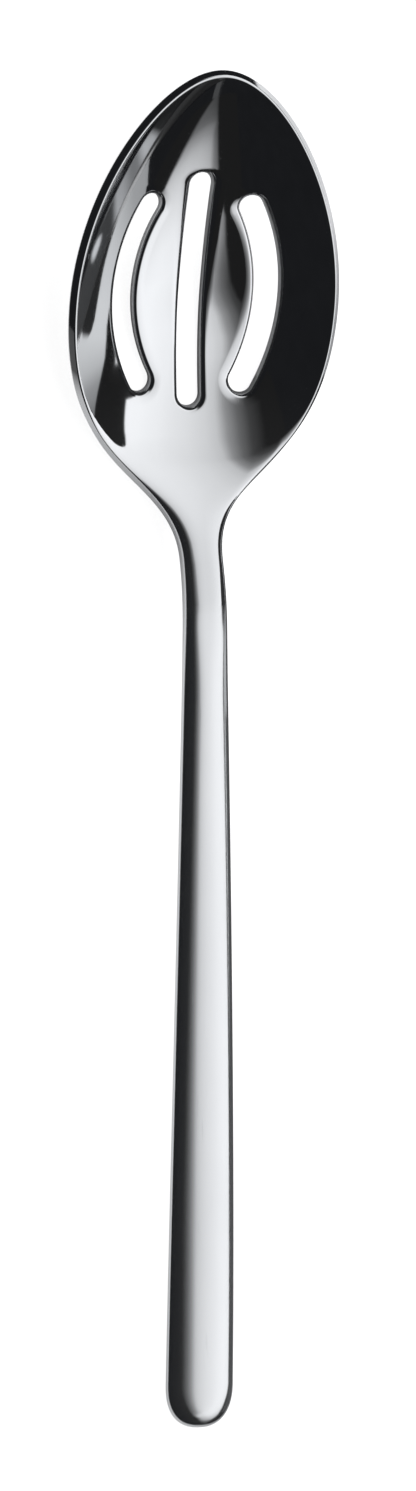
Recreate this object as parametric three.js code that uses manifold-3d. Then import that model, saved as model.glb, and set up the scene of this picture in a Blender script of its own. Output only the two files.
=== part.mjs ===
// Olive spoon: a pressed bowl with three drain slots, a solid bar handle, and the weld
// that closes the joint between them at the neck. Millimetres, +Z up. The spoon lies on
// a table at z = 0, resting on the bowl and on the end of the handle, its tip towards +Y.
import * as THREE from 'three';
import { mergeVertices } from 'three/addons/utils/BufferGeometryUtils.js';
import Module from 'manifold-3d';

const wasm = await Module();
wasm.setup();

// Handle
const HANDLE_LENGTH = 129.3;         // free end to the narrowest place of the neck
const HANDLE_END_WIDTH = 10.45;
const HANDLE_THICKNESS = 3.5;
const HANDLE_ARCH = 0.75;            // rise of the handle's middle above a straight line
const HANDLE_EDGE_FLAT = 0.35;       // height of the flat along the sides
const END_ROUND_LENGTH = 6.6;
const END_ROUND_POWER = 2.35;        // 2 is an ellipse, more is squarer
const TAPER_AT_END = 39;             // how far the handle keeps its end width
const TAPER_AT_NECK = 10;

// Neck
const NECK_WIDTH = 6.4;
const NECK_THICKNESS = 3.3;
const NECK_SQUARENESS = 3;           // 2 is an ellipse, more is squarer
const NECK_SQUARE_BEHIND = 23;       // length over which the bar's section grows squarer
const NECK_RISE = 3.8;               // handle's axis at the neck above the start of the straight rim
const NECK_BEND_BEHIND = 7;          // the bend's reach from the neck towards the handle
const NECK_BEND_AHEAD = 18;          // and towards the bowl
const NECK_CREST = 8;                // how far the bend keeps the handle's direction
const NECK_VALLEY = 9;               // and the rim's direction
const NECK_BLEND_AHEAD = 24;         // where the bar's section has become the bowl's sheet
const NECK_BLEND_BEHIND = 18;

// Bowl, in plan and in side view
// The sheet's edge is measured in the middle of its thickness.
const BOWL_LENGTH = 70.7;            // narrowest place of the neck to the tip
const BOWL_WIDTH = 41.3;
const BOWL_DEPTH = 8.4;
const WIDEST_FROM_TIP = 33.7;
const DEEPEST_FROM_TIP = 29;
const HOLLOW_LENGTH = 68.7;          // tip to the place where the hollow has run out
const HOLLOW_RUN_OUT = 14.5;         // length over which it starts, at the neck
const HOLLOW_FLOOR_BEHIND = 14.5;    // how far its floor stays deep towards the neck
const HOLLOW_FLOOR_AHEAD = 13;       // and towards the tip
const HOLLOW_TIP_RUN = 5.8;          // length and depth that set its slope at the tip
const HOLLOW_TIP_DEPTH = 5.5;
const RIM_TILT = THREE.MathUtils.degToRad(16.3);
const TIP_FULLNESS = 8.8;            // half width that the tip's curve aims at
const FLANK_FULLNESS = 17.7;         // how far the widest place runs on towards the tip
const SHOULDER_FULLNESS = 24.5;      // and towards the neck
const SHOULDER_SWEEP = 13.8;         // how far the neck's width runs on into the bowl
const WALL_STEEPNESS = 0.12;         // 0 is a parabola, more steepens the wall at the rim
const RIM_THICKNESS = 1.5;
const BOTTOM_THICKNESS = 2;
const EDGE_ROUND = 0.3;              // rounding of the rim's corners
const REST_FLAT_DEPTH = 0.2;         // depth of the flats that the spoon rests on

// Drain slots, measured along the rim from the tip
const SLOT_WIDTH = 3.6;
const CENTRE_SLOT_FROM_TIP = 16;
const CENTRE_SLOT_LENGTH = 35;
const SIDE_SLOT_FROM_TIP = 34;       // middle of the side slots
const SIDE_SLOT_LENGTH = 30.8;
const SIDE_SLOT_OFFSET = 11.3;       // centre line to the middle of a side slot
const SIDE_SLOT_RADIUS = 27.5;

// Joint at the neck
const WELD_WIDTH = 1.2;
const TANG_WIDTH = 3;
const TANG_THICKNESS = 1.6;
const TANG_LENGTH = 12;
const TANG_ROOT = 3;                 // length of the tang inside the bowl's neck
const TANG_CLEARANCE = 0.3;

// Fineness of the surfaces
const BOWL_STEPS_ACROSS = 28;
const BOWL_STEPS_BEHIND = 22;        // neck to the widest place
const BOWL_STEPS_AHEAD = 20;         // widest place to the tip
const BAR_STEPS_ACROSS = 18;
const END_STEPS = 8;
const HANDLE_STEPS = 22;
const ARC_SEGMENTS = 10;
const REST_STEPS = 80;
const REST_ROUNDS = 3;

const NECK_Y = HANDLE_LENGTH;
const TIP_Y = HANDLE_LENGTH + BOWL_LENGTH;
const WIDEST_Y = TIP_Y - WIDEST_FROM_TIP;
const DEEPEST_Y = TIP_Y - DEEPEST_FROM_TIP;
const BEND_START_Y = NECK_Y - NECK_BEND_BEHIND;
const BEND_END_Y = NECK_Y + NECK_BEND_AHEAD;
const BOWL_JOINT_Y = BEND_START_Y;   // the joint lies in the straight, just behind the bend
const HANDLE_JOINT_Y = BOWL_JOINT_Y - WELD_WIDTH;
const FAN_SHARE = 0.4;               // share of a rounded end over which its sections fan out
const NUDGE = 0.01;                  // step for slopes
const SAME_POINT = 1e-4;             // points closer than this are one
const HALVINGS = 40;
const STEEL = 0xc8c9cc;

function bezier(...points) {
  return new THREE.CubicBezierCurve(...points.map(([along, value]) => new THREE.Vector2(along, value)));
}

function spread(from, to, steps) {
  return Array.from({ length: steps + 1 }, (_, i) => THREE.MathUtils.lerp(from, to, i / steps));
}

// The value of a curve, which runs towards +Y, at one place along the spoon.
function valueAt(curve, y) {
  let low = 0;
  let high = 1;
  for (let i = 0; i < HALVINGS; i += 1) {
    const middle = (low + high) / 2;
    if (curve.getPoint(middle).x < y) {
      low = middle;
    } else {
      high = middle;
    }
  }
  return curve.getPoint((low + high) / 2).y;
}

// Plan: half width along the spoon
const handleSide = bezier(
  [0, HANDLE_END_WIDTH / 2],
  [TAPER_AT_END, HANDLE_END_WIDTH / 2],
  [NECK_Y - TAPER_AT_NECK, NECK_WIDTH / 2],
  [NECK_Y, NECK_WIDTH / 2],
);
const shoulder = bezier(
  [NECK_Y, NECK_WIDTH / 2],
  [NECK_Y + SHOULDER_SWEEP, NECK_WIDTH / 2],
  [WIDEST_Y - SHOULDER_FULLNESS, BOWL_WIDTH / 2],
  [WIDEST_Y, BOWL_WIDTH / 2],
);
const front = bezier(
  [WIDEST_Y, BOWL_WIDTH / 2],
  [WIDEST_Y + FLANK_FULLNESS, BOWL_WIDTH / 2],
  [TIP_Y, TIP_FULLNESS],
  [TIP_Y, 0],
);

function halfWidth(y) {
  if (y > WIDEST_Y) {
    return valueAt(front, y);
  }
  if (y > NECK_Y) {
    return valueAt(shoulder, y);
  }
  const fromRound = Math.max(0, 1 - y / END_ROUND_LENGTH);
  return valueAt(handleSide, y) * (1 - fromRound ** END_ROUND_POWER) ** (1 / END_ROUND_POWER);
}

// Hollow of the bowl: depth below the rim along the centre line
const hollowBehind = bezier(
  [TIP_Y - HOLLOW_LENGTH, 0],
  [TIP_Y - HOLLOW_LENGTH + HOLLOW_RUN_OUT, 0],
  [DEEPEST_Y - HOLLOW_FLOOR_BEHIND, BOWL_DEPTH],
  [DEEPEST_Y, BOWL_DEPTH],
);
const hollowAhead = bezier(
  [DEEPEST_Y, BOWL_DEPTH],
  [DEEPEST_Y + HOLLOW_FLOOR_AHEAD, BOWL_DEPTH],
  [TIP_Y - HOLLOW_TIP_RUN, HOLLOW_TIP_DEPTH],
  [TIP_Y, 0],
);

function hollowDepth(y) {
  if (y < TIP_Y - HOLLOW_LENGTH) {
    return 0;
  }
  return valueAt(y < DEEPEST_Y ? hollowBehind : hollowAhead, y);
}

// Side view: height of the mid-line of the edge
let handleEndHeight = HANDLE_THICKNESS / 2;
let rimHeight = 0;

function handleHeight(y) {
  const along = y / BEND_START_Y;
  const straight = THREE.MathUtils.lerp(handleEndHeight, rimHeight + NECK_RISE, along);
  return straight + 4 * HANDLE_ARCH * along * (1 - along);
}

function handleSlope() {
  return (handleHeight(BEND_START_Y) - handleHeight(BEND_START_Y - NUDGE)) / NUDGE;
}

function edgeHeight(y) {
  if (y < BEND_START_Y) {
    return handleHeight(y);
  }
  const rimSlope = Math.tan(RIM_TILT);
  if (y > BEND_END_Y) {
    return rimHeight + rimSlope * (y - BEND_END_Y);
  }
  const bend = bezier(
    [BEND_START_Y, rimHeight + NECK_RISE],
    [BEND_START_Y + NECK_CREST, rimHeight + NECK_RISE + handleSlope() * NECK_CREST],
    [BEND_END_Y - NECK_VALLEY, rimHeight - rimSlope * NECK_VALLEY],
    [BEND_END_Y, rimHeight],
  );
  return valueAt(bend, y);
}

// The section changes from the handle's bar, 0, to the bowl's sheet, 1.
function sheetShare(y) {
  return THREE.MathUtils.smootherstep(y, NECK_Y, NECK_Y + NECK_BLEND_AHEAD);
}

function thicknessAt(y, across) {
  const sheet = THREE.MathUtils.lerp(BOTTOM_THICKNESS, RIM_THICKNESS, across * across);
  const barShare = THREE.MathUtils.smootherstep(y, NECK_Y - NECK_BLEND_BEHIND, NECK_Y);
  const bar = THREE.MathUtils.lerp(HANDLE_THICKNESS, NECK_THICKNESS, barShare);
  return THREE.MathUtils.lerp(bar, sheet, sheetShare(y));
}

// Power of the section's corners: an ellipse along the handle, squarer at the neck
function sectionPower(y) {
  const neckShare = THREE.MathUtils.smootherstep(y, NECK_Y - NECK_SQUARE_BEHIND, NECK_Y);
  return THREE.MathUtils.lerp(2, NECK_SQUARENESS, neckShare * (1 - sheetShare(y)));
}

// Height of the surface halfway between the top and the underside
function middleHeight(x, y) {
  const across = Math.abs(x) / Math.max(halfWidth(y), SAME_POINT);
  const curve = (1 - WALL_STEEPNESS) * across ** 2 + WALL_STEEPNESS * across ** 4;
  return edgeHeight(y) - hollowDepth(y) * (1 - curve);
}

// Where the section that meets the outline at y crosses the centre line. Towards the two
// rounded ends the sections lean back, so that they meet the outline squarely all round.
function sectionFoot(y) {
  if (y < END_ROUND_LENGTH) {
    return y + FAN_SHARE * END_ROUND_LENGTH * (1 - y / END_ROUND_LENGTH) ** 2;
  }
  if (y > WIDEST_Y) {
    return y - FAN_SHARE * WIDEST_FROM_TIP * (1 - (TIP_Y - y) / WIDEST_FROM_TIP) ** 2;
  }
  return y;
}

// A point of the top, side 1, or the underside, side -1, on the section that meets the
// outline at y. The bar has an oval section, and the sheet a square edge with round corners.
function skinPoint(outlineY, across, side) {
  const width = halfWidth(outlineY);
  const foot = sectionFoot(outlineY);
  const inward = outlineY < NECK_Y ? NUDGE : -NUDGE;
  const flare = (halfWidth(outlineY + inward) - width) / inward;
  const reach = (width - flare * (outlineY - foot)) / Math.hypot(1, flare);
  const fromOutline = (1 - Math.abs(across)) * reach;
  const x = across * width;
  const y = THREE.MathUtils.lerp(foot, outlineY, Math.abs(across));
  const sheet = sheetShare(y);
  const thickness = thicknessAt(y, across);
  const corner = THREE.MathUtils.lerp((thickness - HANDLE_EDGE_FLAT) / 2, EDGE_ROUND, sheet);
  const cornerReach = THREE.MathUtils.lerp(reach, EDGE_ROUND, sheet);
  const bare = 1 - Math.min(1, fromOutline / cornerReach);
  const power = sectionPower(y);
  const half = thickness / 2 - corner * (1 - (1 - bare ** power) ** (1 / power));
  const height = middleHeight(x, y);
  const slopeX = x === 0 ? 0 : (height - middleHeight(x * (1 - NUDGE), y)) / (x * NUDGE);
  const slopeY = (middleHeight(x, y + inward) - height) / inward;
  const normal = new THREE.Vector3(-slopeX, -slopeY, 1).normalize();
  const offset = new THREE.Vector3(normal.x, normal.y * sheet, normal.z).normalize();
  offset.multiplyScalar((side * half) / offset.dot(normal));
  return new THREE.Vector3(x, y, height).add(offset);
}

function sectionLoop(y, steps) {
  const shares = spread(-Math.PI / 2, Math.PI / 2, steps).map(Math.sin);
  const top = shares.map((across) => skinPoint(y, across, 1));
  const underside = shares.map((across) => skinPoint(y, across, -1));
  return [...top, ...underside.reverse()];
}

// The underside's lowest place between two stations
function lowest(fromY, toY) {
  return Math.min(...spread(fromY, toY, REST_STEPS).map((y) => skinPoint(y, 0, -1).z));
}

// Set the spoon down: both resting places reach the table, less the depth of their flats.
for (let round = 0; round < REST_ROUNDS; round += 1) {
  rimHeight -= lowest(NECK_Y, DEEPEST_Y) + REST_FLAT_DEPTH;
  handleEndHeight -= lowest(END_ROUND_LENGTH, 2 * END_ROUND_LENGTH) + REST_FLAT_DEPTH;
}

// A closed skin through the sections at the stations, in order towards +Y. A rounded end
// closes by itself, because its last section has no width; a cut end gets a flat face.
function skin(stations, steps) {
  const positions = [];
  const index = [];
  const count = 2 * (steps + 1);
  for (const y of stations) {
    for (const point of sectionLoop(y, steps)) {
      positions.push(point.x, point.y, point.z);
    }
  }
  for (let ring = 0; ring + 1 < stations.length; ring += 1) {
    for (let i = 0; i < count; i += 1) {
      const a = ring * count + i;
      const b = ring * count + ((i + 1) % count);
      index.push(a, b, a + count, b, b + count, a + count);
    }
  }
  const close = (ring, reversed) => {
    const y = stations[ring];
    if (halfWidth(y) < SAME_POINT) {
      return;
    }
    const apex = positions.length / 3;
    positions.push(0, y, edgeHeight(y));
    for (let i = 0; i < count; i += 1) {
      const a = ring * count + i;
      const b = ring * count + ((i + 1) % count);
      index.push(...(reversed ? [apex, b, a] : [apex, a, b]));
    }
  };
  close(0, true);
  close(stations.length - 1, false);
  const geometry = new THREE.BufferGeometry();
  geometry.setAttribute('position', new THREE.Float32BufferAttribute(positions, 3));
  geometry.setIndex(index);
  return geometry;
}

function toSolid(geometry) {
  const bare = geometry.clone();
  bare.deleteAttribute('normal');
  bare.deleteAttribute('uv');
  const merged = mergeVertices(bare, SAME_POINT);
  return new wasm.Manifold(new wasm.Mesh({
    numProp: 3,
    vertProperties: new Float32Array(merged.attributes.position.array),
    triVerts: new Uint32Array(merged.index.array),
  }));
}

function toGeometry(solid) {
  const mesh = solid.getMesh();
  const geometry = new THREE.BufferGeometry();
  geometry.setAttribute('position', new THREE.BufferAttribute(mesh.vertProperties, 3));
  geometry.setIndex(new THREE.BufferAttribute(mesh.triVerts, 1));
  return geometry;
}

// Slots, drawn in the plane of the rim with the tip at the origin
function straightSlot() {
  const radius = SLOT_WIDTH / 2;
  const shape = new THREE.Shape();
  shape.absarc(0, -CENTRE_SLOT_FROM_TIP - radius, radius, 0, Math.PI);
  shape.absarc(0, -CENTRE_SLOT_FROM_TIP - CENTRE_SLOT_LENGTH + radius, radius, Math.PI, 2 * Math.PI);
  return shape;
}

function curvedSlot(facing) {
  const radius = SLOT_WIDTH / 2;
  const reach = (SIDE_SLOT_LENGTH - SLOT_WIDTH) / 2 / SIDE_SLOT_RADIUS;
  const side = Math.cos(facing);
  const centreX = side * (SIDE_SLOT_OFFSET - SIDE_SLOT_RADIUS);
  const centreY = -SIDE_SLOT_FROM_TIP;
  const end = (angle) => [
    centreX + SIDE_SLOT_RADIUS * Math.cos(angle),
    centreY + SIDE_SLOT_RADIUS * Math.sin(angle),
  ];
  const first = facing - reach;
  const last = facing + reach;
  const shape = new THREE.Shape();
  shape.absarc(centreX, centreY, SIDE_SLOT_RADIUS + radius, first, last);
  shape.absarc(...end(last), radius, last, last + Math.PI);
  shape.absarc(centreX, centreY, SIDE_SLOT_RADIUS - radius, last, first, true);
  shape.absarc(...end(first), radius, first + Math.PI, first + 2 * Math.PI);
  return shape;
}

function slotCutter(shape) {
  const above = RIM_THICKNESS;
  const below = BOWL_DEPTH + NECK_THICKNESS;
  const geometry = new THREE.ExtrudeGeometry(shape, {
    depth: above + below,
    bevelEnabled: false,
    curveSegments: ARC_SEGMENTS,
  });
  geometry.translate(0, 0, -below);
  geometry.rotateX(RIM_TILT);
  geometry.translate(0, TIP_Y, edgeHeight(TIP_Y));
  return toSolid(geometry);
}

// What would reach below the table, which leaves the flats that the spoon rests on
function belowTable() {
  const geometry = new THREE.BoxGeometry(BOWL_WIDTH, 2 * TIP_Y, BOWL_DEPTH);
  geometry.translate(0, 0, -BOWL_DEPTH / 2);
  return toSolid(geometry);
}

// The tang in line with the handle's axis; its seat has a clearance all round.
function tang(clearance) {
  const length = TANG_LENGTH + TANG_ROOT + clearance;
  const geometry = new THREE.BoxGeometry(
    TANG_WIDTH + 2 * clearance,
    length,
    TANG_THICKNESS + 2 * clearance,
  );
  geometry.translate(0, TANG_ROOT - length / 2, 0);
  geometry.rotateX(Math.atan(handleSlope()));
  geometry.translate(0, BOWL_JOINT_Y, edgeHeight(BOWL_JOINT_Y));
  return toSolid(geometry);
}

function bowlGeometry() {
  const behind = spread(BOWL_JOINT_Y, WIDEST_Y, BOWL_STEPS_BEHIND);
  const ahead = spread(0, 1, BOWL_STEPS_AHEAD).slice(1).map((share) => front.getPoint(share).x);
  let bowl = toSolid(skin([...behind, ...ahead], BOWL_STEPS_ACROSS));
  for (const shape of [straightSlot(), curvedSlot(0), curvedSlot(Math.PI)]) {
    bowl = bowl.subtract(slotCutter(shape));
  }
  return toGeometry(bowl.subtract(belowTable()).add(tang(0)));
}

function handleGeometry() {
  const round = spread(0, Math.PI / 2, END_STEPS).map((angle) => END_ROUND_LENGTH * (1 - Math.cos(angle)));
  const shaft = spread(END_ROUND_LENGTH, HANDLE_JOINT_Y, HANDLE_STEPS).slice(1);
  const bar = toSolid(skin([...round, ...shaft], BAR_STEPS_ACROSS));
  return toGeometry(bar.subtract(belowTable()).subtract(tang(TANG_CLEARANCE)));
}

function weldGeometry() {
  const ring = toSolid(skin([HANDLE_JOINT_Y, BOWL_JOINT_Y], BAR_STEPS_ACROSS));
  return toGeometry(ring.subtract(tang(TANG_CLEARANCE)));
}

function piece(name, geometry, roughness) {
  geometry.computeVertexNormals();
  const material = new THREE.MeshStandardMaterial({ color: STEEL, metalness: 1, roughness });
  const mesh = new THREE.Mesh(geometry, material);
  mesh.name = name;
  return mesh;
}

const spoon = new THREE.Group();
spoon.add(piece('bowl', bowlGeometry(), 0.08));
spoon.add(piece('handle', handleGeometry(), 0.08));
spoon.add(piece('neck_weld', weldGeometry(), 0.14));

// The origin is on the table, under the middle of the spoon.
const box = new THREE.Box3().setFromObject(spoon);
spoon.position.y = -(box.min.y + box.max.y) / 2;

export default spoon;
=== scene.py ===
import math

import bpy
import numpy as np
from bpy.props import FloatProperty, FloatVectorProperty, IntProperty, PointerProperty
from mathutils import Matrix, Vector
from mathutils.geometry import delaunay_2d_cdt


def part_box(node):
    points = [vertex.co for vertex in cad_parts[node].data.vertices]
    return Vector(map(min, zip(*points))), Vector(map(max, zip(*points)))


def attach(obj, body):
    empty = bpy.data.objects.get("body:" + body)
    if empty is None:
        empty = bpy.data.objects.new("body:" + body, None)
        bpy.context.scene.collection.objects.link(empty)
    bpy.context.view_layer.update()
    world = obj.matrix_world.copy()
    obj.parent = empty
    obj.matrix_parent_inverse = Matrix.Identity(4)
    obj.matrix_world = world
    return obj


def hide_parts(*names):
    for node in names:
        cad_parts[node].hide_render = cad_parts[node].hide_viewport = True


bl_info = {
    "name": "Olive Spoon",
    "version": (1, 0, 0),
    "blender": (4, 5, 0),
    "location": "View3D > Sidebar > Olive Spoon",
    "description": "Builds a slotted olive spoon of polished steel over its CAD frame",
    "category": "Object",
}

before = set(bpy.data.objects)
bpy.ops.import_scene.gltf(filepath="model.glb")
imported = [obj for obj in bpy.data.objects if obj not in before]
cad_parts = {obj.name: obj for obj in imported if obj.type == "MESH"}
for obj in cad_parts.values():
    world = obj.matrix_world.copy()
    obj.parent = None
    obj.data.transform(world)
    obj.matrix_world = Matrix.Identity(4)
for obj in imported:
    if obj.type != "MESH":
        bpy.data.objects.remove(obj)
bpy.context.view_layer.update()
HANDLE_END_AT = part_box("handle")[0][1]

# Steps and margins of the calculation
TINY, VANISHING = 1e-9, 1e-30
NUDGE, MERGE, EDGE_MARGIN, SIDE_STEP = 1e-5, 1e-7, 1e-7, 1e-4
CURVE_SAMPLES, SKIN_SAMPLES = 1501, 81
SLOPE_SHARE, EDGE_SHARE = 0.01, 0.4
HALVINGS, SETTLINGS = 36, 3
SOLVE_STEPS, SOLVE_GAIN = 30, 0.8

# How finely the skins are drawn
BOWL_COLUMNS, NECK_ROWS, SHOULDER_ROWS, FRONT_ROWS = 73, 56, 44, 84
SLOT_SIDE, SLOT_END, SLOT_BANDS, SLOT_ROUNDS = 60, 27, 4, 7
WALL_FROM = 0.8
OPENING_BEHIND = TANG_OVERLAP = 0.0005
ROW_STEP, WALL_GAP, BAND_GAP = 0.866, 0.55, 0.45
FILL_SCALE, FILL_MARGIN = 1000, 1e-7
WELD_RINGS = 6
SHARP_FROM = 0.7

# Where scratches, film and the touched end of the handle start and are full, and how much lines, film
# and scratches change the steel's gloss, colour and surface
SCRATCH_SPAN, FILM_SPAN, TOUCHED_SPAN = (0.74, 0.81143), (0.35, 0.80455), (0.055, 0.025)
FINE_SHARE = 0.6
ROUGH_BASE, ROUGH_LINES, ROUGH_FILM, ROUGH_SCRATCH = 0.55, 0.5, 0.4, 0.12
HAZE_FILM, HAZE_SCRATCH = 0.5, 0.3
TOUCHED_FILM = 0.055
SCRATCH_DEPTH, BUMP_STRENGTH, BUMP_DISTANCE = 0.5, 0.02, 0.00005

# Colours and levels of light on the stage
DARK = 0.014
COOL, SOFTBOX_WHITE, NIGHT = (0.97, 0.985, 1.0), (0.985, 0.99, 1.0), (0.86, 0.9, 1.0)
WORLD_DIM = 0.3
# The paper glows less in the metal than it does to the camera: painted shade
PAPER_SEEN, PAPER_MIRRORED = 0.9, 0.5
# Painted shade: how much the card and the paper dim where the bowl is seen in the bowl
CARD_SHADE_TWICE, PAPER_SHADE_TWICE = 0.7, 0.8

# Places on the stage in metres, and its angles in degrees
FLOOR_REACH, FLOOR_AT = 7.5, -5e-5
CARD_AWAY, FLAG_BESIDE = 2.5, 0.04
TENT_STEP, TENT_LIFT = 5, 4
SOFTBOX_HEADING, SOFTBOX_HEIGHT = -80, 1.0
CAMERA_AIM, CAMERA_SHIFT, CAMERA_CLIP = (0, -0.000214, 0.006), (0.000813, 0.001634), (0.01, 20)

# Brightness and edges of the softbox, by place along it and across it, in shares of its height
SOFTBOX_ACROSS = ((-0.3, 0.0), (-0.18, 0.04), (-0.09, 0.13), (-0.02, 0.26), (0.0, 0.31), (0.07, 0.6),
                  (0.15, 0.7), (0.3, 0.81), (0.6, 0.94), (0.9, 1.0))
SOFTBOX_ALONG = ((-2.0, 0.8), (-1.15, 0.87), (-0.55, 0.925), (-0.15, 0.985), (0.2, 1.03), (0.65, 1.025),
                 (0.85, 0.965), (1.1, 0.84), (1.7, 0.54), (2.0, 0.355), (2.5, 0.15), (2.9, 0.11),
                 (3.9, 0.08), (6.0, 0.06))
SOFTBOX_LEFT = ((-2.0, -0.08), (-1.5, -0.03), (-0.6, 0.19), (-0.15, 0.12), (-0.03, -0.02), (0.05, -0.05),
                (0.2, -0.02), (0.3, 0.03), (0.4, 0.06), (0.5, 0.06), (0.65, 0.0), (0.85, -0.02), (1.0, 0.1),
                (1.3, 0.2), (1.9, 0.32), (2.5, 0.37), (3.7, 0.65), (6.0, 1.15))
SOFTBOX_CUT = ((-2.0, -0.4), (0.2, -0.35), (0.3, -0.22), (0.45, -0.155), (0.6, -0.11), (0.75, -0.1),
               (0.9, -0.01), (1.3, 0.08), (6.0, 1.09))
SOFTBOX_RIGHT = ((-2.0, 3.2), (-1.0, 2.25), (-0.35, 1.32), (-0.25, 1.225), (-0.15, 1.175), (-0.05, 1.15),
                 (0.12, 1.19), (0.2, 1.3), (0.3, 1.72), (0.4, 1.85), (0.5, 2.0), (0.9, 2.0), (1.0, 1.5),
                 (1.3, 1.45), (1.7, 1.55), (2.1, 1.45), (2.5, 1.42), (3.3, 1.45), (6.0, 1.6))
SOFTBOX_EDGE, SOFTBOX_RIGHT_EDGE = 0.04, ((1.2, 0.03), (2.0, 0.24))
# Painted shade and a painted glint in the softbox, shown only where the bowl is seen in the bowl
SECOND_REFLECTION_PAINT = ((-4.27, 0.06), (0.45, 0.06), (0.53, 0.62), (0.63, 0.6), (0.78, 0.36), (0.88, 0.4),
              (1.03, 1.15), (1.23, 1.2), (1.38, 0.06), (5.73, 0.06))
GLINT, GLINT_LEVEL = {"centre": (0.65, 0.47), "size": (0.07, 0.06), "full": 1.5}, 0.8

# Brightness and edges of the pale card, and the dark notch in it, a painted shade that the bowl's left wall
# mirrors, in shares of its distance
CARD_LEVEL = ((-0.6, 0.8), (-0.577, 0.85), (-0.488, 0.92), (-0.404, 1.28), (-0.325, 1.56), (-0.194, 1.7),
              (-0.105, 1.68), (-0.07, 1.5), (-0.035, 1.27), (0.0, 0.78), (0.05, 0.5))
CARD_TOP = ((-0.5, 0.27), (-0.2, 0.27), (-0.15, 0.294), (-0.1215, 0.312), (-0.0925, 0.34),
            (-0.0412, 0.3795), (0.0, 0.3875), (0.1, 0.392))
CARD_EDGE = 0.012
NOTCH_RIGHT, NOTCH_PAINTED_SHADE = -0.098, 0.985
NOTCH_TOP, NOTCH_FOOT = ((0.56, 0.2095), (0.0, 0.132), (-1.6, -0.0514)), (3.8, 0.4138)

# Where the paper looks darker in the metal, all of it painted shade: beyond a corner on the right, to the left,
# under the bowl as a painted shadow, and to the right
PAPER_CORNER = (((0.85, -0.53, 0), (0.02, 0.10333)), ((-0.53, -0.85, 0), (-0.05, -0.01)))
PAPER_LEFT, PAPER_LEFT_SHADE = (-0.022, -0.0484), 0.88
PAPER_UNDER, PAPER_UNDER_SHADOW = {"centre": (0.012, 0.062), "size": (0.04, 0.045), "full": 1.3}, 0.95
PAPER_SLANT_FROM, PAPER_SLANT_BASE = 0.06, 0.01
PAPER_RIGHT, PAPER_AWAY = (0.0, 0.02), (0.2, 0.3)
PAPER_NEAR = ((-1.5, 0.04), (-0.135, 0.04), (-0.11, 1.0), (0.5, 1.0))
PAPER_FAR = ((-1.5, 0.04), (-0.62, 0.04), (-0.56, 0.5), (-0.4, 0.5), (-0.35, 0.04), (-0.135, 0.04),
             (-0.11, 1.0), (0.5, 1.0))


def length(name, description, millimetres):
    """A length property in metres, its default given in millimetres."""
    return FloatProperty(name=name, description=description, default=millimetres / 1000, unit="LENGTH",
                         subtype="DISTANCE", precision=5)


def angle(name, description, degrees):
    return FloatProperty(name=name, description=description, default=math.radians(degrees),
                         subtype="ANGLE", unit="ROTATION")


def factor(name, description, default, most=1):
    return FloatProperty(name=name, description=description, default=default, min=0, max=most,
                         subtype="FACTOR")


def amount(name, description, default, least=0):
    return FloatProperty(name=name, description=description, default=default, min=least)


def colour(name, description, default):
    return FloatVectorProperty(name=name, description=description, default=default, subtype="COLOR",
                               min=0, max=1)


class BowlSizes(bpy.types.PropertyGroup):
    """Sizes of the bowl and its slots"""
    length: length("Length", "Neck to tip, measured level", 70.7)
    width: length("Width", "Across the rim at the middle of the sheet", 41.3)
    depth: length("Depth", "Rim to the middle of the sheet at the deepest place", 8.4)
    widest: length("Widest", "Tip to the widest place", 33.7)
    deepest: length("Deepest", "Tip to the deepest place", 29)
    hollow: length("Hollow", "Length of the hollow, back from the tip", 68.7)
    run_out: length("Run-out", "How gently the hollow starts at the neck", 14.5)
    floor_behind: length("Floor behind", "Level floor behind the deepest place", 14.5)
    floor_ahead: length("Floor ahead", "Level floor ahead of the deepest place", 13)
    tip_run: length("Tip run", "How far the front wall leans back", 5.8)
    tip_depth: length("Tip depth", "Height over which the front wall leans", 5.5)
    tilt: angle("Tilt", "Rise of the rim towards the tip", 16.3)
    tip_fullness: length("Tip fullness", "Roundness of the tip", 8.8)
    flank_fullness: length("Flank fullness", "Roundness ahead of the widest place", 17.7)
    shoulder_fullness: length("Shoulder fullness", "Roundness behind the widest place", 24.5)
    shoulder_sweep: length("Shoulder sweep", "How far the neck runs on before it widens", 13.8)
    steepness: factor("Wall steepness", "Share of the quartic in the cross curve", 0.12)
    rim_thickness: length("Rim thickness", "Sheet at the rim", 1.5)
    bottom_thickness: length("Bottom thickness", "Sheet at the middle", 2)
    edge_round: length("Edge round", "Radius along the rim's corners", 0.3)
    slot_width: length("Slot width", "Across each slot", 3.6)
    centre_from_tip: length("Centre slot from tip", "Tip to the centre slot, along the rim", 16)
    centre_length: length("Centre slot length", "End to end", 35)
    side_from_tip: length("Side slots from tip", "Tip to the middle of the side slots", 34)
    side_length: length("Side slot length", "End to end along the curve", 30.8)
    side_offset: length("Side slot offset", "Middle of the spoon to the side slots", 11.3)
    side_radius: length("Side slot radius", "Bend of the side slots", 27.5)
    slot_round: length("Slot round", "Rounded edge of the slots on top", 0.7)
    slot_roll: length("Slot roll", "How far from a side slot the sheet is drawn down", 1.8)
    roll_slope: amount("Roll slope", "Slope of the drawn-down sheet at a slot", 0.33)
    centre_roll: length("Centre roll", "How far from the front of the centre slot it is drawn down", 1.8)
    roll_from: length("Roll from", "Tip to where the centre roll starts to grow", 44)
    roll_run: length("Roll run", "The centre roll grows over this length", 18)
    slot_burr: length("Slot break", "Broken edge of the slots below", 0.3)
    mesh_step: length("Mesh step", "Spacing of the points on the bowl's floor", 0.9)


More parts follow.
